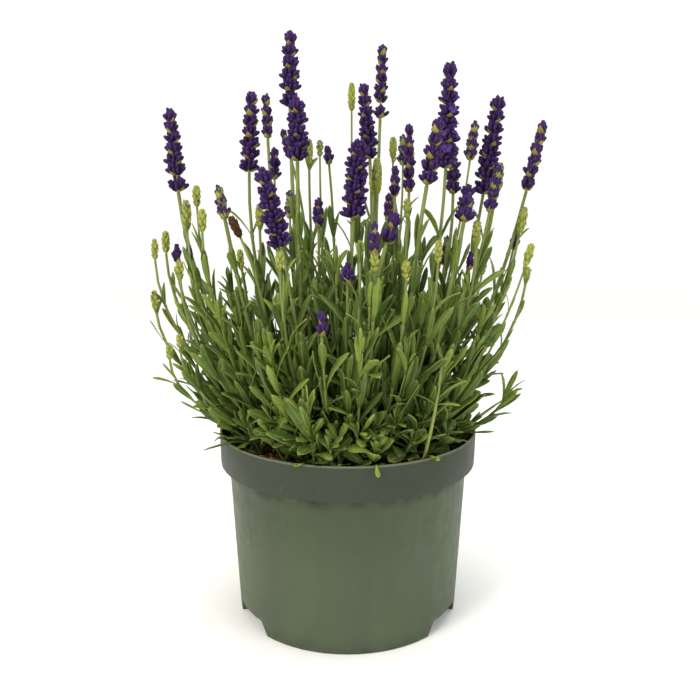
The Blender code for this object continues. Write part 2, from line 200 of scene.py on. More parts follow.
def moulded_polypropylene():
    """Satin where the mould was polished. It is faintly streaked down its sides by handling and water, and
    dusty in flecks. The collar is painted darker as painted shade from the leaves over it, and the top of
    the lip is painted paler as a painted highlight. A ragged band of painted shade, partly grimy, lies in
    the step under the collar, and the plastic is darker towards the foot."""
    material, tree, shader = begin_material("moulded_polypropylene", 0.46, 1.49, 0.15)
    where = add(tree, "ShaderNodeTexCoord").outputs["Object"]
    drawn_down = add(tree, "ShaderNodeMapping", {"Vector": where, "Scale": (1, 1, 0.30)})
    streak = add(
        tree, "ShaderNodeTexNoise", {"Vector": drawn_down.outputs[0], "Scale": 1 / 0.022, "Detail": 5.0}
    )
    mist = add(tree, "ShaderNodeTexNoise", {"Vector": where, "Scale": 1 / 0.009, "Detail": 4.0})
    speck = add(tree, "ShaderNodeTexNoise", {"Vector": where, "Scale": 1 / 0.0013, "Detail": 2.0})
    height = add(tree, "ShaderNodeSeparateXYZ", {"Vector": where}).outputs["Z"]
    streaks = add(
        tree, "ShaderNodeMapRange", {"Value": streak.outputs[0], "From Min": 0.30, "From Max": 0.72}
    )
    green = add(
        tree,
        "ShaderNodeMix",
        {0: streaks.outputs[0], 6: linear(POT_GREEN), 7: linear(POT_GREY)},
        data_type="RGBA",
    )
    # Painted shade: this mask darkens the collar for the shade of the leaves over it.
    collar = add(
        tree,
        "ShaderNodeMapRange",
        {"Value": height, "From Min": COLLAR_AT - 0.3 * MM, "From Max": COLLAR_AT + 0.3 * MM, "To Max": 0.85},
    )
    collar_shaded = add(
        tree,
        "ShaderNodeMix",
        {0: collar.outputs[0], 6: green.outputs[2], 7: linear(POT_COLLAR_SHADE)},
        data_type="RGBA",
    )
    specks = add(
        tree,
        "ShaderNodeMapRange",
        {"Value": speck.outputs[0], "From Min": 0.68, "From Max": 0.74, "To Max": 0.55},
    )
    patchy = add(tree, "ShaderNodeMapRange", {"Value": mist.outputs[0], "From Min": 0.42, "From Max": 0.64})
    flecks = add(tree, "ShaderNodeMath", {0: specks.outputs[0], 1: patchy.outputs[0]}, operation="MULTIPLY")
    dusty = add(
        tree,
        "ShaderNodeMix",
        {0: flecks.outputs[0], 6: collar_shaded.outputs[2], 7: linear(POT_DUST_AND_HIGHLIGHT)},
        data_type="RGBA",
    )
    # Painted highlight: the top of the lip is painted paler.
    lip = add(
        tree,
        "ShaderNodeMapRange",
        {"Value": height, "From Min": LIP_TOP - 1.4 * MM, "From Max": LIP_TOP - 0.5 * MM, "To Max": 0.45},
    )
    lip_highlighted = add(
        tree, "ShaderNodeMix", {0: lip.outputs[0], 6: dusty.outputs[2], 7: linear(POT_DUST_AND_HIGHLIGHT)}, data_type="RGBA"
    )
    # Painted shade: a soft dark band in the step under the collar's overhang, broken up raggedly below so it
    # is partly grimy.
    step = add(
        tree,
        "ShaderNodeMapRange",
        {"Value": height, "From Min": COLLAR_AT - 9 * MM, "From Max": COLLAR_AT - 0.8 * MM, "To Max": 0.90},
    )
    below = add(tree, "ShaderNodeMath", {0: height, 1: COLLAR_AT - 0.1 * MM}, operation="LESS_THAN")
    shade_under_collar = add(tree, "ShaderNodeMath", {0: step.outputs[0], 1: below.outputs[0]}, operation="MULTIPLY")
    # Darker towards the foot.
    foot = add(
        tree, "ShaderNodeMapRange", {"Value": height, "From Min": 0.012, "From Max": 0.0, "To Max": 0.35}
    )
    darkening = add(tree, "ShaderNodeMath", {0: shade_under_collar.outputs[0], 1: foot.outputs[0]}, operation="MAXIMUM")
    broken = add(
        tree,
        "ShaderNodeMapRange",
        {"Value": mist.outputs[0], "From Min": 0.36, "From Max": 0.62, "To Min": 0.20},
    )
    ragged_darkening = add(tree, "ShaderNodeMath", {0: darkening.outputs[0], 1: broken.outputs[0]}, operation="MULTIPLY")
    colour = add(
        tree,
        "ShaderNodeMix",
        {0: ragged_darkening.outputs[0], 6: lip_highlighted.outputs[2], 7: linear(POT_SHADE_AND_GRIME)},
        data_type="RGBA",
    )
    rough = add(
        tree,
        "ShaderNodeMapRange",
        {"Value": mist.outputs[0], "From Min": 0.3, "From Max": 0.7, "To Min": 0.42, "To Max": 0.54},
    )
    tree.links.new(rough.outputs[0], shader.inputs["Roughness"])
    grain = add(tree, "ShaderNodeTexNoise", {"Vector": where, "Scale": 1 / 0.0016, "Detail": 2.0})
    surface(tree, shader, colour, grain, 0.10, 0.0003)
    return material


pot = hand_over("pot", merged_copy("nursery_pot"), [moulded_polypropylene()], "pot_plastic", "nursery_pot")
pot.data.set_sharp_from_angle(angle=math.radians(32))
pot_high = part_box("nursery_pot")[1]

# ---------------------------------------------------------------------------------------------------------
# Potting soil: damp peat with perlite and bark in it, pressed into the pot. Its top is broken up by clods,
# and loose crumbs lie on it and on the pot's rim.
# ---------------------------------------------------------------------------------------------------------
SOIL_DARK = "#1D1510"
SOIL_LIGHT = "#4A3526"
PERLITE = "#E4DFD4"
BARK_RED = "#7A3B22"
PERLITE_SHADE = "#B9B2A4"
BARK_SHADE = "#3A2015"
CLOD_DEPTH = 0.0015
TOP_BAND = 0.003


def peat():
    """Fibrous and matte, nearly black where it is damp and browner on the dry crests."""
    material, tree, shader = begin_material("damp_peat", 0.93, 1.4, 0.2)
    where = add(tree, "ShaderNodeTexCoord").outputs["Object"]
    clod = add(tree, "ShaderNodeTexNoise", {"Vector": where, "Scale": 1 / 0.004, "Detail": 6.0})
    dry = add(tree, "ShaderNodeMapRange", {"Value": clod.outputs[0], "From Min": 0.38, "From Max": 0.72})
    colour = add(
        tree,
        "ShaderNodeMix",
        {0: dry.outputs[0], 6: linear(SOIL_DARK), 7: linear(SOIL_LIGHT)},
        data_type="RGBA",
    )
    surface(tree, shader, colour, clod, 0.9, 0.0015)
    return material


def grit(name, pale, deep, roughness):
    """Small loose bits in one mineral or wood, mottled at a millimetre."""
    material, tree, shader = begin_material(name, roughness, 1.45, 0.3)
    where = add(tree, "ShaderNodeTexCoord").outputs["Object"]
    mottle = add(tree, "ShaderNodeTexNoise", {"Vector": where, "Scale": 1 / 0.0012, "Detail": 3.0})
    colour = add(
        tree, "ShaderNodeMix", {0: mottle.outputs[0], 6: linear(pale), 7: linear(deep)}, data_type="RGBA"
    )
    surface(tree, shader, colour, mottle, 0.5, 0.0005)
    return material


bm = merged_copy("potting_soil")
soil_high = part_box("potting_soil")[1]
soil_level = soil_high.z - CLOD_DEPTH
brim = soil_high.x
level_faces = [face for face in bm.faces if face.normal.z > 0.8]
top = [face for face in level_faces if face.calc_center_median().z > soil_level - TOP_BAND]
top_edges = list({edge for face in top for edge in face.edges})
bmesh.ops.subdivide_edges(bm, edges=top_edges, cuts=5, use_grid_fill=True)
for vert in bm.verts:
    inside = math.hypot(vert.co.x, vert.co.y) < brim - 0.0015
    if inside and vert.co.z > soil_level - TOP_BAND:
        clods = noise.noise(vert.co * 160) * 0.0014 + noise.noise(vert.co * 420) * 0.0009
        vert.co.z += clods
soil_top = [vert.co.copy() for vert in bm.verts if vert.co.z > soil_level - TOP_BAND]
hand_over("soil", bm, [peat()], "peat_soil", "potting_soil")


def crumb_bed(name, material, draw, count, smallest, largest, places):
    """Loose lumps, each a squashed and knocked about ball, lying where places puts them."""
    bm = bmesh.new()
    for _ in range(count):
        size = draw.uniform(smallest, largest)
        x, y, z = places(draw)
        squash = Matrix.Diagonal((draw.uniform(0.7, 1.3), draw.uniform(0.6, 1.2), draw.uniform(0.5, 0.9), 1))
        turn = Matrix.Rotation(draw.uniform(0, math.tau), 4, (draw.random(), draw.random(), 1))
        place = Matrix.Translation((x, y, z + 0.25 * size)) @ turn @ squash
        made = bmesh.ops.create_icosphere(bm, subdivisions=1, radius=size / 2, matrix=place)
        for vert in made["verts"]:
            vert.co += (vert.co - Vector((x, y, z))) * noise.noise(vert.co * 900) * 0.5
    hand_over(name, bm, [material], "peat_soil")


def on_soil(draw):
    return draw.choice(soil_top)


def beside_left_rim(draw):
    """Where watering has washed the light grains together, against the wall."""
    beside = [place for place in soil_top if place.x < -0.072 and abs(place.y + 0.004) < 0.018]
    return draw.choice(beside)


def on_rim(draw):
    """On the lip: mostly in two stretches where soil was spilled over it, and some anywhere round it."""
    angle = math.radians(draw.choice((draw.gauss(-58, 7), draw.gauss(-150, 12), draw.uniform(0, 360))))
    radius = pot_high.x - 0.0011
    return radius * math.cos(angle), radius * math.sin(angle), pot_high.z


draw = random.Random(11)
perlite = grit("perlite", PERLITE, PERLITE_SHADE, 0.85)
washed_perlite = grit("perlite", PERLITE, PERLITE_SHADE, 0.85)
bark_bits = grit("composted_bark", BARK_RED, BARK_SHADE, 0.8)
spilled_bark = grit("spilled_bark", "#8C4528", BARK_SHADE, 0.8)
crumb_bed("peat_crumbs", peat(), draw, 420, 0.0015, 0.0042, on_soil)
crumb_bed("perlite_grains", perlite, draw, 150, 0.0012, 0.0032, on_soil)
crumb_bed("washed_perlite", washed_perlite, draw, 70, 0.0014, 0.0030, beside_left_rim)
crumb_bed("bark_bits", bark_bits, draw, 120, 0.0015, 0.0040, on_soil)
crumb_bed("rim_crumbs", spilled_bark, draw, 34, 0.0006, 0.0014, on_rim)

# ---------------------------------------------------------------------------------------------------------
# Woody crown: the old stub that every shoot grows from, grey brown and fissured.
# ---------------------------------------------------------------------------------------------------------


def bark():
    """Long cracks run up the wood, about a millimetre and a half apart."""
    material, tree, shader = begin_material("lavender_bark", 0.88, 1.45, 0.25)
    where = add(tree, "ShaderNodeTexCoord").outputs["Object"]
    drawn_out = add(tree, "ShaderNodeMapping", {"Vector": where, "Scale": (1, 1, 0.2)})
    crack = add(
        tree, "ShaderNodeTexNoise", {"Vector": drawn_out.outputs[0], "Scale": 1 / 0.0015, "Detail": 4.0}
    )
    colour = add(
        tree,
        "ShaderNodeMix",
        {0: crack.outputs[0], 6: linear("#3B2A1E"), 7: linear("#8A7763")},
        data_type="RGBA",
    )
    surface(tree, shader, colour, crack, 0.9, 0.0008)
    return material


bm = merged_copy("woody_crown")
bmesh.ops.subdivide_edges(bm, edges=bm.edges, cuts=2, use_grid_fill=True, smooth=0.6)
for vert in bm.verts:
    vert.co += vert.normal * noise.noise(Vector((vert.co.x * 500, vert.co.y * 500, vert.co.z * 90))) * 0.0012
hand_over("crown", bm, [bark()], "old_wood", "woody_crown")

# ---------------------------------------------------------------------------------------------------------
# Stems and leaves: square grey-green stems, softly hairy, that carry their leaves in pairs at joints, each
# pair crossing the one below. The blades are narrow, thick and slightly folded along a pale midrib.
# ---------------------------------------------------------------------------------------------------------
STEM_GREEN = "#84904C"
STEM_SHADE = "#566330"
# The leaf greens run from deep to pale; the deep end is also painted shade inside the plant, and the pale end
# painted light on its outside and top.
LEAF_SHADED_DEEP = "#27390F"
LEAF_MID = "#4A6324"
LEAF_LIT_PALE = "#84943A"
LEAF_RIB = "#909C50"
NARROW = ((0, 0.26), (0.22, 0.58), (0.50, 0.94), (0.76, 1.00), (0.92, 0.62), (1, 0.14))
BROAD = ((0, 0.18), (0.25, 0.34), (0.52, 0.74), (0.77, 1.00), (0.93, 0.76), (1, 0.22))
BLADE_THICKNESS = 0.016
WIDEST_REACH = 0.116
STEM_SIDES = 8
STEM_STEPS = 9
STEM_SPLAY = 1.45


def stem_tissue():
    """Matte and finely ribbed lengthwise, in a green that varies from patch to patch and from stem to stem.
    """
    material, tree, shader = begin_material("stem_tissue", 0.58, 1.42, 0.35)
    where = add(tree, "ShaderNodeTexCoord").outputs["Object"]
    tint = add(tree, "ShaderNodeAttribute", attribute_name="tint")
    patch = add(tree, "ShaderNodeTexNoise", {"Vector": where, "Scale": 1 / 0.012, "Detail": 3.0})
    both = add(
        tree,
        "ShaderNodeMath",
        {0: patch.outputs[0], 1: tint.outputs["Fac"], 2: 0.15},
        operation="MULTIPLY_ADD",
    )
    colour = add(
        tree,
        "ShaderNodeMix",
        {0: both.outputs[0], 6: linear(STEM_SHADE), 7: linear(STEM_GREEN)},
        data_type="RGBA",
    )
    fine = add(tree, "ShaderNodeMapping", {"Vector": where, "Scale": (1, 1, 0.12)})
    rib = add(tree, "ShaderNodeTexNoise", {"Vector": fine.outputs[0], "Scale": 1 / 0.0005, "Detail": 1.0})
    surface(tree, shader, colour, rib, 0.35, 0.0003)
    return material


def leaf_tissue():
    """Waxy above, with a pale rib and edge; each leaf's green runs from deep to yellowish, partly at random
    and partly as painted shade low within the plant and painted light high up and on its outside.
    """
    material, tree, shader = begin_material("leaf_tissue", 0.50, 1.42, 0.35)
    where = add(tree, "ShaderNodeTexCoord").outputs["Object"]
    tint = add(tree, "ShaderNodeAttribute", attribute_name="tint")
    along = add(tree, "ShaderNodeAttribute", attribute_name="along")
    across = add(tree, "ShaderNodeAttribute", attribute_name="across")
    patch = add(tree, "ShaderNodeTexNoise", {"Vector": where, "Scale": 1 / 0.005, "Detail": 3.0})
    low = add(tree, "ShaderNodeMapRange", {"Value": tint.outputs["Fac"], "From Max": 0.5})
    high = add(tree, "ShaderNodeMapRange", {"Value": tint.outputs["Fac"], "From Min": 0.5})
    dark = add(
        tree,
        "ShaderNodeMix",
        {0: low.outputs[0], 6: linear(LEAF_SHADED_DEEP), 7: linear(LEAF_MID)},
        data_type="RGBA",
    )
    green = add(
        tree,
        "ShaderNodeMix",
        {0: high.outputs[0], 6: dark.outputs[2], 7: linear(LEAF_LIT_PALE)},
        data_type="RGBA",
    )
    mottled = add(
        tree,
        "ShaderNodeMapRange",
        {"Value": patch.outputs[0], "From Min": 0.3, "From Max": 0.7, "To Min": 0.80, "To Max": 1.16},
    )
    shaded = add(
        tree, "ShaderNodeVectorMath", {0: green.outputs[2], "Scale": mottled.outputs[0]}, operation="SCALE"
    )
    side = add(tree, "ShaderNodeMath", {0: across.outputs["Fac"]}, operation="ABSOLUTE")
    rib = add(
        tree,
        "ShaderNodeMapRange",
        {"Value": side.outputs[0], "From Min": 0.02, "From Max": 0.26, "To Min": 0.36, "To Max": 0.0},
    )
    edge = add(
        tree,
        "ShaderNodeMapRange",
        {"Value": side.outputs[0], "From Min": 0.84, "From Max": 1.0, "To Max": 0.35},
    )
    tip = add(
        tree,
        "ShaderNodeMapRange",
        {"Value": along.outputs["Fac"], "From Min": 0.88, "From Max": 1.0, "To Max": 0.45},
    )
    pale = add(tree, "ShaderNodeMath", {0: rib.outputs[0], 1: edge.outputs[0]}, operation="MAXIMUM")
    paler = add(tree, "ShaderNodeMath", {0: pale.outputs[0], 1: tip.outputs[0]}, operation="MAXIMUM")
    colour = add(
        tree,
        "ShaderNodeMix",
        {0: paler.outputs[0], 6: shaded.outputs[0], 7: linear(LEAF_RIB)},
        data_type="RGBA",
    )
    surface(tree, shader, colour, patch, 0.25, 0.0006)
    return material


def start_plant():
    """An empty mesh that knows what the plant's materials read."""
    bm = bmesh.new()
    for name in ("tint", "along", "across"):
        bm.verts.layers.float.new(name)
    return bm


def gather(bm, part):
    """Joins one stem or whorl to its piece. Each is built on its own, which keeps the script quick."""
    mesh = bpy.data.meshes.new("part")
    part.to_mesh(mesh)
    part.free()
    bm.from_mesh(mesh)
    bpy.data.meshes.remove(mesh)


def finished_mesh(name, bm, material_index):
    """A mesh that is copied many times, turned outwards, in one of its piece's materials."""
    for face in bm.faces:
        face.material_index = material_index
    bmesh.ops.recalc_face_normals(bm, faces=bm.faces)
    mesh = bpy.data.meshes.new(name)
    bm.to_mesh(mesh)
    bm.free()
    return mesh


def blade(name, outline, width, bend, fold, twist, material_index=1):
    """A leaf one unit long, rising from the origin along +Y with its upper side to +Z."""
    bm = start_plant()
    along = bm.verts.layers.float["along"]
    across = bm.verts.layers.float["across"]
    rows = len(outline) - 1
    bmesh.ops.create_grid(bm, x_segments=2, y_segments=rows, size=1)
    bmesh.ops.solidify(bm, geom=bm.faces[:], thickness=BLADE_THICKNESS)
    reach = 1 / bend
    for vert in bm.verts:
        place, wide = outline[min(max(round((vert.co.y + 1) / 2 * rows), 0), rows)]
        vert[along] = place
        vert[across] = min(max(vert.co.x, -1), 1)
        half = vert[across] * wide * width / 2
        spun = Matrix.Rotation(twist * place, 3, "Y") @ Vector((half, 0, vert.co.z + fold * abs(half)))
        turn = place * bend
        vert.co = (spun.x, (reach - spun.z) * math.sin(turn), reach - (reach - spun.z) * math.cos(turn))
    return finished_mesh(name, bm, material_index)


narrow_blades = [
    blade("narrow_blade", NARROW, width, bend, fold, twist)
    for width, bend, fold, twist in (
        (0.165, -0.45, 0.25, 0.4),
        (0.185, -0.25, 0.35, -0.5),
        (0.150, 0.25, 0.22, 0.6),
        (0.175, 0.40, 0.30, -0.3),
        (0.195, -0.70, 0.18, 0.2),
        (0.160, 0.15, 0.45, 0.0),
    )
]
broad_blades = [
    blade("broad_blade", BROAD, width, bend, fold, twist)
    for width, bend, fold, twist in (
        (0.34, -0.75, 0.30, 0.3),
        (0.30, -0.40, 0.20, -0.4),
        (0.36, 0.35, 0.40, 0.2),
        (0.32, -1.10, 0.15, 0.0),
    )
]
stem_green = stem_tissue()
leaf_green = leaf_tissue()


def grow(bm, stations, sides, tint, turn=0.0, squareness=1.0):
    """A closed body through level rings. Each station is (centre, radius), and the first is the lowest.
    A squareness under 1 draws every other corner in by that much."""
    layer = bm.verts.layers.float["tint"]
    centre, radius = stations[0]
    place = Matrix.Translation(centre) @ Matrix.Rotation(turn, 4, "Z")
    made = bmesh.ops.create_circle(bm, cap_ends=True, segments=sides, radius=radius, matrix=place)
    for vert in made["verts"]:
        vert[layer] = tint
    for vert in made["verts"][::2]:
        vert.co = centre + (vert.co - centre) * squareness
    cap = made["verts"][0].link_faces[0]
    cap.normal_flip()
    for level, (centre, radius) in enumerate(stations[1:]):
        grown = bmesh.ops.extrude_face_region(bm, geom=[cap])["geom"]
        if level > 0:
            bmesh.ops.delete(bm, geom=[cap], context="FACES_ONLY")
        cap = next(item for item in grown if isinstance(item, bmesh.types.BMFace))
        middle = cap.calc_center_median()
        share = radius / max((vert.co - middle).length for vert in cap.verts)
        for vert in cap.verts:
            vert.co = centre + (vert.co - middle) * share
            vert[layer] = tint


def put(bm, template, root, run, upper, size, tint, wide=1.0):
    """Adds one copy of a template: its +Y along run, its +Z turned as near to upper as that lets it."""
    run = run.normalized()
    side = run.cross(upper).normalized()
    place = Matrix((side, run, side.cross(run))).transposed().to_4x4()
    place = Matrix.Translation(root) @ place @ Matrix.Diagonal((size * wide, size, size, 1))
    before = len(bm.verts)
    bm.from_mesh(template)
    bm.verts.ensure_lookup_table()
    added = bm.verts[before:]
    bmesh.ops.transform(bm, matrix=place, verts=added)
    layer = bm.verts.layers.float["tint"]
    for vert in added:
        vert[layer] = tint


def level_line(node):
    """A frame stem's centre line, from its level rings, lowest first."""
    rings = {}
    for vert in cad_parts[node].data.vertices:
        rings.setdefault(round(vert.co.z, 5), []).append(vert.co)
    return [sum(rings[z], Vector()) / len(rings[z]) for z in sorted(rings)]


def stem_line(foot, tip, lean):
    """A stem splays at its foot and comes round to its lean at the tip."""
    rise = tip.z - foot.z
    start = STEM_SPLAY * (tip - foot)
    end = Vector((lean[0] * rise, lean[1] * rise, rise))
    line = []
    for i in range(STEM_STEPS + 1):
        t = i / STEM_STEPS
        point = (1 + 2 * t) * (1 - t) ** 2 * foot + t * (1 - t) ** 2 * start
        point += t * t * (3 - 2 * t) * tip + t * t * (t - 1) * end
        point.z = foot.z + t * rise
        line.append(point)
    return line


def on_line(line, share):
    """The point at this share of a line's height, and the way it runs there."""
    place = min(max(share, 0), 0.9999) * (len(line) - 1)
    index = int(place)
    step = line[index + 1] - line[index]
    return line[index] + step * (place - index), step.normalized()


def fan_out(run, angle, spread):
    """The way out from a stem at this angle round it and this spread from it, and the way its top faces."""
    outward = Vector((math.cos(angle), math.sin(angle), 0))
    outward = (outward - run * outward.dot(run)).normalized()
    way = run * math.cos(spread) + outward * math.sin(spread)
    return way, run * math.sin(spread) - outward * math.cos(spread)


def jittered(draw, middle, width):
    """A share near the middle one, kept from 0 to 1."""
    return min(max(draw.gauss(middle, width), 0), 1)


def stalk(bm, draw, line, thick, joints, tint):
    """The square stem itself, a little swollen at its joints."""
    shares = {i / STEM_STEPS: 1.0 for i in range(STEM_STEPS + 1)}
    for joint in joints:
        shares.update({joint - 0.012: 1.0, joint: 1.30, joint + 0.012: 1.0})
    stations = []
    for share in sorted(shares):
        if 0 <= share <= 1:
            point, _ = on_line(line, share)
            stations.append((point, thick * (1.12 - 0.32 * share) * shares[share]))
    grow(bm, stations, STEM_SIDES, tint, draw.uniform(0, 1.5), 0.84)


def in_light(point):
    """How much paler a leaf is painted here: painted light makes those high up and on the outside yellower,
    and painted shade makes those low and within darker.
    """
    return 0.34 * (min(math.hypot(point.x, point.y) / 0.095, 1.2) - 0.55) + 1.1 * (point.z - 0.20)


def leafy(bm, draw, line, joints, length, spread, blades, tint):
    """A pair of leaves at each joint, each pair crossing the last, smaller and steeper towards the top, and
    steeper on outer stems. A younger leaf often stands in the angle between a leaf and the stem."""
    turn = draw.uniform(0, math.pi)
    for i, joint in enumerate(joints):
        up = i / max(len(joints) - 1, 1)
        root, run = on_line(line, joint)
        # in_light adds painted light to high, outer leaves and painted shade to low, inner ones.
        tone = tint + in_light(root)
        closer = 9 * min(max((math.hypot(root.x, root.y) - 0.060) / 0.045, 0), 1)
        for half in (0, math.pi):
            angle = turn + half + draw.uniform(-0.3, 0.3)
            wide = draw.gauss(spread - 10 * up - closer, 7)
            long = length * (1 - 0.30 * up) * draw.uniform(0.75, 1.15)
            way, face = fan_out(run, angle, math.radians(wide))
            if (root + way * long).xy.length > WIDEST_REACH:
                long *= 0.68
            leaf = draw.choice(blades)
            put(bm, leaf, root, way, face, long, jittered(draw, tone, 0.14), draw.uniform(0.85, 1.2))
            if draw.random() < 0.55 * (1 - up):
                way, face = fan_out(run, angle + draw.uniform(-0.4, 0.4), math.radians(0.45 * wide))
                young = jittered(draw, tone + 0.12, 0.12)
                put(bm, draw.choice(blades), root, way, face, draw.uniform(0.4, 0.65) * long, young)
        turn += math.pi / 2 + draw.uniform(-0.2, 0.2)


def spaced(low, high, count):
    """Shares of a stem's height from low to high, for its joints."""
    return [low + (high - low) * i / max(count - 1, 1) for i in range(count)]


def young_tip(bm, draw, line, length, blades, tint):
    """The leaves that are still opening at a shoot's end."""
    end, run = on_line(line, 1)
    for step in range(4):
        spread = math.radians(draw.uniform(8, 24))
        way, face = fan_out(run, step * math.tau / 4 + draw.random(), spread)
        # The tone carries in_light's painted light and shade.
        tone = jittered(draw, tint + 0.12 + in_light(end), 0.1)
        put(bm, draw.choice(blades), end, way, face, length * draw.uniform(0.7, 1.1), tone)


def over_rim(bm):
    """Leaves that reach the pot's lip lie on it."""
    lip = pot_high.x - 0.001
    for vert in bm.verts:
        across = math.hypot(vert.co.x, vert.co.y)
        slope = 1.1 if across < lip else 0.9
        vert.co.z = max(vert.co.z, pot_high.z + 0.0010 - slope * max(abs(across - lip) - 0.003, 0))


# ---------------------------------------------------------------------------------------------------------
# Flower heads: whorls of velvety violet calyces, each whorl in two facing clusters with a papery olive bract
# in front of each, and a tight tip at the stem's end. A young head is still green, violet only at its tips.
# ---------------------------------------------------------------------------------------------------------
VIOLET = "#2C1344"
# Painted shade: a shaded copy of the violet, mixed into the calyces in patches.
VIOLET_SHADE = "#13081B"
# A lit copy of the violet: the painted highlight towards a calyx's mouth, and the darker crease colour of the
# petals.
VIOLET_TIP = "#3B2359"
PETAL = "#5C3D92"
YOUNG = "#949B47"
BRACT = "#7D6C38"
BRACT_EDGE = "#54422A"
DRIED = "#2A170E"
WHORL_PITCH = 8.5 * MM
CALYX_LEAST = 6.3 * MM
CALYX_SHARE = 0.20
SPIKE_FULLNESS = 1.14
SCALE = ((0, 0.55), (0.20, 1.00), (0.48, 0.92), (0.72, 0.55), (0.90, 0.22), (1, 0.05))
PETAL_OUTLINE = ((0, 0.30), (0.25, 0.60), (0.50, 0.95), (0.75, 1.10), (0.92, 0.95), (1, 0.50))


def calyx_velvet():
    """Densely hairy and dark, so light catches it at grazing angles; green where a calyx is joined on. Its
    darkest violet is a shaded copy mixed in patches as painted shade, and it is painted paler towards the
    mouth as a painted highlight.
    """
    material, tree, shader = begin_material("calyx_velvet", 0.68, 1.4, 0.25)
    where = add(tree, "ShaderNodeTexCoord").outputs["Object"]
    tint = add(tree, "ShaderNodeAttribute", attribute_name="tint")
    along = add(tree, "ShaderNodeAttribute", attribute_name="along")
    hair = add(tree, "ShaderNodeTexNoise", {"Vector": where, "Scale": 1 / 0.0009, "Detail": 2.0})
    grey = add(tree, "ShaderNodeTexNoise", {"Vector": where, "Scale": 1 / 0.004, "Detail": 2.0})
    # Painted highlight: the calyx is painted paler from its middle to its mouth.
    mouth = add(tree, "ShaderNodeMapRange", {"Value": along.outputs["Fac"], "From Min": 0.3, "From Max": 1.0})
    # Painted shade mixed in patches at random.
    deep = add(
        tree,
        "ShaderNodeMix",
        {0: grey.outputs[0], 6: linear(VIOLET_SHADE), 7: linear(VIOLET)},
        data_type="RGBA",
    )
    violet = add(
        tree,
        "ShaderNodeMix",
        {0: mouth.outputs[0], 6: deep.outputs[2], 7: linear(VIOLET_TIP)},
        data_type="RGBA",
    )
    ripe = add(
        tree,
        "ShaderNodeMath",
        {0: along.outputs["Fac"], 1: 0.80, 2: tint.outputs["Fac"]},
        operation="MULTIPLY_ADD",
    )
    turned = add(tree, "ShaderNodeMapRange", {"Value": ripe.outputs[0], "From Min": 0.78, "From Max": 1.06})
    colour = add(
        tree,
        "ShaderNodeMix",
        {0: turned.outputs[0], 6: linear(YOUNG), 7: violet.outputs[2]},
        data_type="RGBA",
    )
    surface(tree, shader, colour, hair, 0.5, 0.0004)
    shader.inputs["Sheen Weight"].default_value = 0.18
    shader.inputs["Sheen Roughness"].default_value = 0.4
    shader.inputs["Sheen Tint"].default_value = linear("#75629C")
    return material


def bract_tissue():
    """Thin, papery and olive, browner at the edge, with a few veins."""
    material, tree, shader = begin_material("bract_tissue", 0.66, 1.42, 0.3)
    where = add(tree, "ShaderNodeTexCoord").outputs["Object"]
    tint = add(tree, "ShaderNodeAttribute", attribute_name="tint")
    across = add(tree, "ShaderNodeAttribute", attribute_name="across")
    side = add(tree, "ShaderNodeMath", {0: across.outputs["Fac"]}, operation="ABSOLUTE")
    edge = add(
        tree,
        "ShaderNodeMapRange",
        {"Value": side.outputs[0], "From Min": 0.5, "From Max": 1.0, "To Max": 0.9},
    )
    olive = add(
        tree, "ShaderNodeMix", {0: tint.outputs["Fac"], 6: linear(YOUNG), 7: linear(BRACT)}, data_type="RGBA"
    )
    vein = add(tree, "ShaderNodeTexNoise", {"Vector": where, "Scale": 1 / 0.0012, "Detail": 2.0})
    brown = add(tree, "ShaderNodeMath", {0: edge.outputs[0], 1: vein.outputs[0]}, operation="MULTIPLY")
    colour = add(
        tree,
        "ShaderNodeMix",
        {0: brown.outputs[0], 6: olive.outputs[2], 7: linear(BRACT_EDGE)},
        data_type="RGBA",
    )
    surface(tree, shader, colour, vein, 0.4, 0.0003)
    return material


def crinkled(name, dark, light, roughness):
    """A thin dry or petal-like skin, creased about every millimetre and a half."""
    material, tree, shader = begin_material(name, roughness, 1.4, 0.3)
    where = add(tree, "ShaderNodeTexCoord").outputs["Object"]
    crease = add(tree, "ShaderNodeTexNoise", {"Vector": where, "Scale": 1 / 0.0015, "Detail": 3.0})
    colour = add(
        tree, "ShaderNodeMix", {0: crease.outputs[0], 6: linear(dark), 7: linear(light)}, data_type="RGBA"
    )
    surface(tree, shader, colour, crease, 0.4, 0.0004)
    return material


def calyx(name, outline):
    """A six-sided tube one unit long along +Y, closed at both ends."""
    bm = start_plant()
    along = bm.verts.layers.float["along"]
    grow(bm, [(Vector((0, 0, share)), wide) for share, wide in outline], 6, 0)
    for vert in bm.verts:
        vert[along] = vert.co.z
    bmesh.ops.rotate(bm, verts=bm.verts, cent=(0, 0, 0), matrix=Matrix.Rotation(math.radians(-90), 3, "X"))
    return finished_mesh(name, bm, 0)


blunt_calyx = calyx("blunt_calyx", ((0, 0.08), (0.22, 0.15), (0.62, 0.195), (0.88, 0.165), (1.0, 0.06)))
slim_calyx = calyx("slim_calyx", ((0, 0.08), (0.35, 0.14), (0.75, 0.15), (1.0, 0.04)))
bract_blades = [blade("bract", SCALE, 0.85, bend, 0.35, 0.0) for bend in (1.0, 1.3)]
scale_blades = [blade("bud_scale", SCALE, 0.85, bend, 0.35, 0.0) for bend in (0.5, 0.8)]
petal_blades = [blade("petal", PETAL_OUTLINE, 0.9, bend, 0.3, 0.3, 2) for bend in (-1.6, -1.1)]
head_materials = [calyx_velvet(), bract_tissue(), crinkled("petal_tissue", VIOLET_TIP, PETAL, 0.6)]


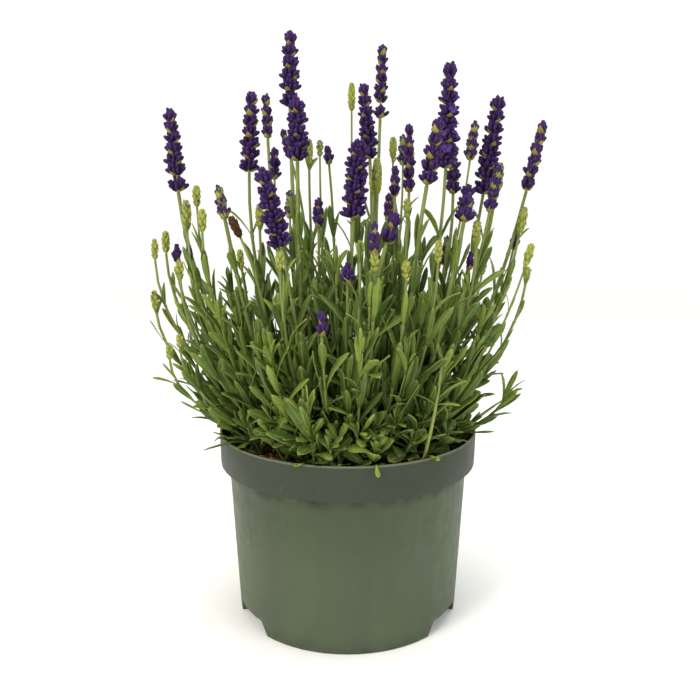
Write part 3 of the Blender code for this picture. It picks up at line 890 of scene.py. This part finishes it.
def whorl(bm, draw, centre, run, turn, radius, long, ripe, crowd, open_share, bract_share):
    """Two facing clusters. Each has three rows of calyces, the outermost flattest, in the lap of a bract that
    curves up in front of them."""
    widest = math.degrees(math.asin(min((radius - 0.7 * MM) / (long + 0.8 * MM), 0.92)))
    rows = ((crowd, 1.0, 0.0), (crowd, 0.72, 0.20), (max(crowd - 2, 1), 0.36, 0.42))
    for half in (0, math.pi):
        for count, share, lift in rows:
            for place in range(count):
                step = (place - (count - 1) / 2) * 152 / crowd + draw.uniform(-8, 8)
                aside = 0.78 + 0.22 * abs(math.sin(math.radians(step)))
                spread = math.radians(draw.gauss(widest * share * aside, 5))
                way, face = fan_out(run, turn + half + math.radians(step), spread)
                root = centre + run * (lift * long) + way * (0.12 * radius)
                size = long * draw.uniform(0.88, 1.08)
                tone = jittered(draw, ripe, 0.10)
                put(bm, blunt_calyx, root, way, face, size, tone, draw.uniform(0.74, 0.94))
                if share == 1.0 and draw.random() < open_share:
                    mouth = root + way * (0.9 * size)
                    for lobe in range(4):
                        out, up = fan_out(way, lobe * math.tau / 4 + draw.random(), math.radians(55))
                        put(bm, draw.choice(petal_blades), mouth, out, up, 0.42 * long, 1)
        out, _ = fan_out(run, turn + half, math.pi / 2)
        way, face = fan_out(run, turn + half, math.radians(min(widest + 22, 82)))
        root = centre + out * (0.26 * radius) - run * (0.05 * long)
        put(bm, draw.choice(bract_blades), root, way, face, bract_share * long, jittered(draw, ripe, 0.12))


def flower_head(bm, draw, start, run, length, radius, ripe, crowd=4, open_share=0.0, apart=0.0):
    """A stem's end with its whorls. The lowest whorl may stand apart from the rest."""
    whorls = max(2, round(length / min(WHORL_PITCH, 1.3 * radius)))
    pitch = length / (whorls + 0.1)
    calyx_length = CALYX_LEAST + CALYX_SHARE * radius
    grow(bm, [(start - run * 0.0004, 0.0010), (start + run * (0.9 * length), 0.0006)], 6, 0.0)
    turn = math.radians(-90 + draw.choice((-24, 24, 62)))
    greener = min(max((0.97 - ripe) / 0.10, 0), 1)
    for i in range(whorls):
        up = i / max(whorls - 1, 1)
        lift = pitch * (i + 0.05) + (apart * pitch * (1 - up) if i else 0)
        taper = 1 - 0.34 * max(0, up - 0.30) / 0.70
        late = ripe - 0.30 * up * (1 - ripe)
        centre = start + run * lift
        long = calyx_length * (1 - 0.4 * (1 - taper))
        bract = 0.72 + 0.32 * greener * up
        own = start_plant()
        whorl(own, draw, centre, run, turn, radius * taper, long, late, crowd, open_share * (1 - up), bract)
        gather(bm, own)
        turn += math.pi / 2 + math.radians(draw.uniform(-14, 14))
    tip = start + run * (length - 0.62 * pitch)
    for step in range(6):
        way, face = fan_out(run, turn + step * math.tau / 6, math.radians(draw.uniform(8, 22)))
        put(bm, blunt_calyx, tip, way, face, 0.60 * pitch, max(0, ripe - 0.15), 1.2)
    for side in range(4):
        way, face = fan_out(run, turn + side * math.tau / 4, math.radians(34))
        put(bm, scale_blades[0], tip, way, face, (0.34 + 0.30 * greener) * pitch, 0.7 * ripe)


def green_head(bm, draw, start, run, length, radius, ripe):
    """A head still in bud: a cone of overlapping green scales with pointed tips."""
    levels = max(3, round(length / (2.7 * MM)))
    grow(bm, [(start - run * 0.0004, 0.0007), (start + run * (0.8 * length), 0.5 * radius)], 6, 0.0)
    for i in range(levels):
        up = i / (levels - 1)
        swell = math.sin(math.radians(35 + 120 * up)) ** 0.6
        centre = start + run * (0.80 * length * up)
        for step in range(4):
            angle = (step + 0.5 * (i % 2)) * math.tau / 4 + draw.uniform(-0.2, 0.2)
            way, face = fan_out(run, angle, math.radians(36 - 16 * up))
            root = centre + way * (0.30 * radius)
            scale = draw.choice(scale_blades)
            put(bm, scale, root, way, face, 1.80 * radius * swell, jittered(draw, 0.12, 0.1))
            way, face = fan_out(run, angle + 0.6, math.radians(28 - 12 * up))
            put(bm, slim_calyx, root, way, face, 1.85 * radius * swell, jittered(draw, ripe, 0.10), 1.2)


def frame_head(node):
    """Where a frame head starts, the way it runs, and its length and radius."""
    line = level_line(node)
    run = line[-1] - line[0]
    widest = 0
    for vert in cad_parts[node].data.vertices:
        middle = line[0] + run * ((vert.co.z - line[0].z) / run.z)
        widest = max(widest, (vert.co.xy - middle.xy).length)
    return line[0], run.normalized(), run.length, widest


def named(start):
    """The frame's nodes with names that start like this, in order."""
    return [name for name in sorted(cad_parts) if name.startswith(start)]


# How ripe each spike is, how many calyces its clusters show, how many of them are open, and how far its
# lowest whorl stands apart.
SPIKE_LOOKS = (
    (0.97, 5, 0.00, 0.3),
    (1.00, 5, 0.00, 0.0),
    (0.86, 4, 0.00, 0.2),
    (0.74, 3, 0.00, 0.0),
    (0.96, 4, 0.00, 0.5),
    (0.99, 5, 0.03, 0.0),
    (0.50, 3, 0.00, 0.0),
    (0.99, 4, 0.00, 0.0),
    (1.00, 5, 0.00, 0.0),
    (0.84, 3, 0.00, 0.6),
    (0.92, 4, 0.00, 0.2),
    (1.00, 5, 0.30, 0.0),
    (0.80, 4, 0.00, 0.0),
    (0.95, 4, 0.00, 0.0),
    (0.98, 4, 0.00, 0.2),
    (0.86, 4, 0.00, 0.2),
    (0.88, 5, 0.12, 0.0),
    (0.92, 4, 0.00, 0.0),
)
for number, (node, look) in enumerate(zip(named("flower_spike"), SPIKE_LOOKS), 1):
    start, run, length, radius = frame_head(node)
    bm = start_plant()
    flower_head(bm, random.Random(100 + number), start, run, length, radius * SPIKE_FULLNESS, *look)
    hand_over(f"spike_{number:02}", bm, head_materials, "violet_flowers", node)

for number, node in enumerate(named("bud_head"), 1):
    start, run, length, radius = frame_head(node)
    bm = start_plant()
    green_head(bm, random.Random(200 + number), start, run, length, radius, 0.05)
    hand_over(f"bud_cone_{number:02}", bm, head_materials, "green_buds", node)

# ---------------------------------------------------------------------------------------------------------
# Flowering stems, and the stems in bud: leafy up to about the plant's middle, bare and straight above it.
# ---------------------------------------------------------------------------------------------------------
LEAFY_TO = 0.275
FLOWERING_THICK = 0.00165
BUDDING_THICK = 0.00105


def flowering_stem(bm, draw, line, thick, tint):
    """A stem with five evenly spaced joints, the topmost about LEAFY_TO above the ground or lower."""
    rise = line[-1].z - line[0].z
    leafy_share = min(0.76, (LEAFY_TO + draw.uniform(-0.03, 0.02) - line[0].z) / rise)
    joints = spaced(0.10, leafy_share, 5)
    stalk(bm, draw, line, thick, joints, tint)
    leafy(bm, draw, line, joints, 0.040, 28, narrow_blades, 0.42)
    over_rim(bm)


def last_pair(bm, draw, line):
    """Two small leaves close under a head that is still in bud."""
    root, run = on_line(line, 1 - 0.004 / (line[-1].z - line[0].z))
    turn = draw.uniform(0, math.pi)
    for half in (0, math.pi):
        way, face = fan_out(run, turn + half, math.radians(draw.uniform(16, 30)))
        leaf = draw.choice(narrow_blades)
        put(bm, leaf, root, way, face, draw.uniform(0.010, 0.019), draw.uniform(0.5, 0.9))


for number, node in enumerate(named("flower_stem"), 1):
    draw = random.Random(300 + number)
    bm = start_plant()
    flowering_stem(bm, draw, level_line(node), FLOWERING_THICK, draw.uniform(0.5, 1.0))
    hand_over(f"flowering_stem_{number:02}", bm, [stem_green, leaf_green], "green_stem", node)

for number, node in enumerate(named("bud_stem"), 1):
    draw = random.Random(400 + number)
    bm = start_plant()
    flowering_stem(bm, draw, level_line(node), BUDDING_THICK, draw.uniform(0.6, 1.0))
    hand_over(f"budding_stem_{number:02}", bm, [stem_green, leaf_green], "green_stem", node)

# ---------------------------------------------------------------------------------------------------------
# Smaller heads among the others: late spikes, and heads in every stage of bud, each on a thin leafy stem of
# its own from the same crown. In millimetres: where the head starts (x, y, z), its length and radius, how
# far it leans towards x as it rises, and how ripe it is.
# ---------------------------------------------------------------------------------------------------------
LATE_SPIKES = (
    (-45, 70, 338, 19, 4.5, -0.30, 0.90),
    (-57, 60, 320, 23, 5.4, 0.00, 0.95),
    (44, 80, 331, 23, 4.7, 0.00, 0.55),
    (96, 70, 335, 28, 5.4, 0.12, 0.60),
    (96, -30, 298, 31, 4.8, 0.18, 0.70),
    (16, -80, 274, 17, 3.8, 0.05, 0.80),
    (30, 20, 290, 17, 4.4, 0.00, 0.85),
    (0, -60, 253, 9, 5.3, 0.00, 0.95),
    (-16, -85, 223, 14, 3.9, 0.00, 0.95),
    (-20, -20, 287, 18, 4.2, 0.00, 0.90),
    (-15, 80, 332, 11, 4.5, -0.10, 0.90),
    (34, 10, 308, 19, 4.5, 0.00, 0.90),
    (-44, 40, 291, 19, 4.5, 0.00, 0.50),
    (-60, 104, 262, 26, 5.0, -0.06, 0.90),
    (38, 108, 258, 30, 5.5, 0.04, 0.95),
    (80, 92, 250, 24, 5.0, 0.10, 0.80),
    (83, 0, 290, 26, 7.2, 0.10, 0.93),
    (-124, 5, 261, 9, 3.4, 0.00, 0.95),
    (-113, -5, 262, 9, 3.3, 0.00, 0.90),
    (88, 2, 256, 9, 3.3, 0.10, 0.90),
    (118, -5, 271, 10, 3.4, 0.15, 0.90),
)
GREEN_HEADS = (
    (37, 100, 336, 17, 3.4, 0.00, 0.10),
    (51, 100, 331, 19, 3.4, 0.00, 0.25),
    (20, -23, 309, 25, 3.6, 0.00, 0.10),
    (-30, 60, 330, 20, 3.4, 0.00, 0.15),
    (-23, 100, 338, 12, 3.0, 0.00, 0.30),
    (-109, 10, 300, 14, 3.2, 0.00, 0.05),
    (-111, -20, 285, 20, 3.6, 0.00, 0.15),
    (-97, -40, 285, 14, 3.2, 0.03, 0.05),
    (-135, 20, 266, 15, 3.2, 0.00, 0.05),
    (-111, -50, 254, 12, 3.0, 0.00, 0.05),
    (-135, -20, 229, 13, 3.0, -0.05, 0.05),
    (-64, 10, 285, 16, 3.3, 0.00, 0.10),
    (-43, -70, 263, 10, 3.0, 0.00, 0.05),
    (107, 10, 310, 21, 3.6, 0.12, 0.20),
    (111, 40, 313, 13, 3.2, 0.10, 0.10),
    (121, -10, 282, 18, 3.5, 0.15, 0.10),
    (85, -50, 278, 14, 3.2, 0.00, 0.15),
    (37, -80, 258, 10, 3.0, 0.00, 0.05),
    (17, -80, 262, 12, 3.0, 0.00, 0.05),
    (8, -75, 271, 9, 2.8, 0.00, 0.05),
    (19, 30, 309, 14, 3.2, 0.00, 0.10),
    (41, -20, 293, 12, 3.0, 0.00, 0.15),
    (-118, -60, 202, 8, 2.8, 0.00, 0.00),
    (-111, -60, 210, 8, 2.6, 0.00, 0.00),
    (125, -20, 250, 8, 2.8, 0.10, 0.00),
    (-88, 88, 248, 14, 3.2, -0.10, 0.05),
    (10, 112, 246, 14, 3.0, 0.00, 0.05),
    (62, 104, 252, 14, 3.2, 0.10, 0.10),
    (108, 70, 244, 14, 3.0, 0.15, 0.05),
)
DRIED_HEADS = ((-72, -35, 281, 14, 3.4, -0.45, 0.0),)
ROOT_SHARE = 0.34
ROOT_LEAST = 0.017
LATE_THICK = 0.00120
LATE_FULLNESS = 1.12
soil_foot = soil_level - 0.002


def foot_under(tip, share, least):
    """Where a stem with this tip leaves the soil, which it is sunk into a little."""
    flat = Vector((tip.x, tip.y, 0))
    foot = flat.normalized() * (least + share * flat.length)
    foot.z = soil_foot
    return foot


def headed_stems(name, rows, seed, make_head, materials, slot):
    """One piece for the heads and one for their stems."""
    heads = start_plant()
    stems = start_plant()
    for number, (x, y, z, length, radius, lean, ripe) in enumerate(rows):
        draw = random.Random(seed + number)
        tip = Vector((x, y, z)) * MM
        side_lean = 0.0008 * y
        run = Vector((lean, side_lean, 1)).normalized()
        line = stem_line(foot_under(tip, ROOT_SHARE, ROOT_LEAST), tip, (lean, side_lean))
        own = start_plant()
        flowering_stem(own, draw, line, LATE_THICK, draw.uniform(0.6, 1.0))
        if ripe < 0.5 and draw.random() < 0.6:
            last_pair(own, draw, line)
        gather(stems, own)
        make_head(heads, draw, tip, run, length * MM, LATE_FULLNESS * radius * MM, ripe)
    hand_over(f"{name}_heads", heads, materials, slot)
    hand_over(f"{name}_stems", stems, [stem_green, leaf_green], "green_stem")


headed_stems("late_spike", LATE_SPIKES, 700, flower_head, head_materials, "violet_flowers")
headed_stems("green", GREEN_HEADS, 800, green_head, head_materials, "green_buds")
withered = crinkled("withered_head", DRIED, "#5C3C27", 0.8)
headed_stems("dried", DRIED_HEADS, 900, green_head, [withered, withered], "old_wood")

# ---------------------------------------------------------------------------------------------------------
# Leafy shoots: this year's growth without flowers, in a ring and all through the middle of the plant.
# ---------------------------------------------------------------------------------------------------------
INNER_SHOOTS = 52
INNER_REACH_X = 0.122
INNER_REACH_Y = 0.094
SHOOT_THICK = 0.0009
GOLDEN_TURN = math.pi * (3 - math.sqrt(5))


def shoot(bm, draw, line, pairs, length, tint, blades, spread=32):
    joints = spaced(0.12, 0.92, pairs)
    stalk(bm, draw, line, SHOOT_THICK, joints, draw.uniform(0.4, 0.9))
    leafy(bm, draw, line, joints, length, spread, blades, tint)
    young_tip(bm, draw, line, 0.55 * length, blades, tint)
    over_rim(bm)


for number, node in enumerate(named("leafy_shoot"), 1):
    draw = random.Random(500 + number)
    points = sorted((vert.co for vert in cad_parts[node].data.vertices), key=lambda point: point.z)
    foot = sum(points[:4], Vector()) / 4
    low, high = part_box(node)
    tip = Vector(((low.x + high.x) / 2, (low.y + high.y) / 2, 0))
    outward = Vector((tip.x, tip.y, 0)).normalized()
    tip += outward * 0.006
    tip.z = high.z - 0.024
    line = stem_line(foot, tip, (0.25 * outward.x, 0.25 * outward.y))
    bm = start_plant()
    shoot(bm, draw, line, 7, 0.038, 0.5, narrow_blades)
    hand_over(f"shoot_{number:02}", bm, [stem_green, leaf_green], "leaves", node)

draw = random.Random(600)
for group in range(4):
    bm = start_plant()
    for i in range(group, INNER_SHOOTS, 4):
        share = ((i + 0.5) / INNER_SHOOTS) ** 0.60
        angle = i * GOLDEN_TURN
        outward = Vector((math.cos(angle), math.sin(angle), 0))
        height = 0.262 - 0.085 * share * share + draw.uniform(-0.025, 0.020)
        tip = Vector((INNER_REACH_X * share * outward.x, INNER_REACH_Y * share * outward.y, height))
        line = stem_line(foot_under(tip, 0.42, 0.014), tip, tuple(0.30 * share * outward.xy))
        own = start_plant()
        shoot(own, draw, line, 6, 0.042, draw.uniform(0.26, 0.52), narrow_blades, 26)
        gather(bm, own)
    hand_over(f"inner_shoots_{group + 1}", bm, [stem_green, leaf_green], "leaves")

# ---------------------------------------------------------------------------------------------------------
# Low rosettes: short side shoots round the foot of the plant, with the broadest leaves. The outermost lean
# over the rim.
# ---------------------------------------------------------------------------------------------------------
LOW_SHOOTS = 84
RING_REACHES = (0.050, 0.064, 0.074, 0.082)
RING_HEIGHTS = (0.182, 0.168, 0.156, 0.148)

draw = random.Random(650)
for group in range(3):
    bm = start_plant()
    for i in range(group, LOW_SHOOTS, 3):
        angle = i * GOLDEN_TURN
        outward = Vector((math.cos(angle), math.sin(angle), 0))
        ring = i % 4
        reach = RING_REACHES[ring] + draw.uniform(-0.004, 0.004)
        tip = outward * reach
        tip.z = RING_HEIGHTS[ring] + draw.uniform(-0.006, 0.006)
        foot = outward * (reach - draw.uniform(0.008, 0.020))
        foot.z = soil_foot
        line = stem_line(foot, tip, tuple(0.5 * outward.xy))
        own = start_plant()
        shoot(own, draw, line, 3, 0.026, draw.uniform(0.30, 0.66), broad_blades, 50)
        gather(bm, own)
    hand_over(f"low_rosettes_{group + 1}", bm, [stem_green, leaf_green], "leaves")

# ---------------------------------------------------------------------------------------------------------
# Bare stem: one pale stem at the front right, with two small pairs of leaves and nothing on its end. The tip
# of a single low leaf hangs over the lip near it.
# ---------------------------------------------------------------------------------------------------------
BARE_FOOT = Vector((0.049, -0.070, soil_foot))
BARE_TIP = Vector((0.061, -0.076, 0.205))
LAST_LEAVES = ((0.10, (-150, -40), 0.013, broad_blades), (0.62, (170, -30), 0.017, narrow_blades))
OVERHANG_ROOT = Vector((0.0185, -0.0915, 0.1408))
OVERHANG_WAY = Vector((0.1, -1, -0.35))

bm = start_plant()
line = stem_line(BARE_FOOT, BARE_TIP, (0.06, -0.02))
stalk(bm, draw, line, 0.0011, [share for share, *_ in LAST_LEAVES], 1.0)
for share, turns, long, blades in LAST_LEAVES:
    root, run = on_line(line, share)
    for turn in turns:
        way, face = fan_out(run, math.radians(turn), math.radians(62))
        put(bm, blades[0], root, way, face, long, 0.9, 1.3)
over_rim(bm)
put(bm, broad_blades[1], OVERHANG_ROOT, OVERHANG_WAY, Vector((0, 0, 1)), 0.011, 1, 1.1)
hand_over("bare_stem", bm, [stem_green, leaf_green], "leaves")
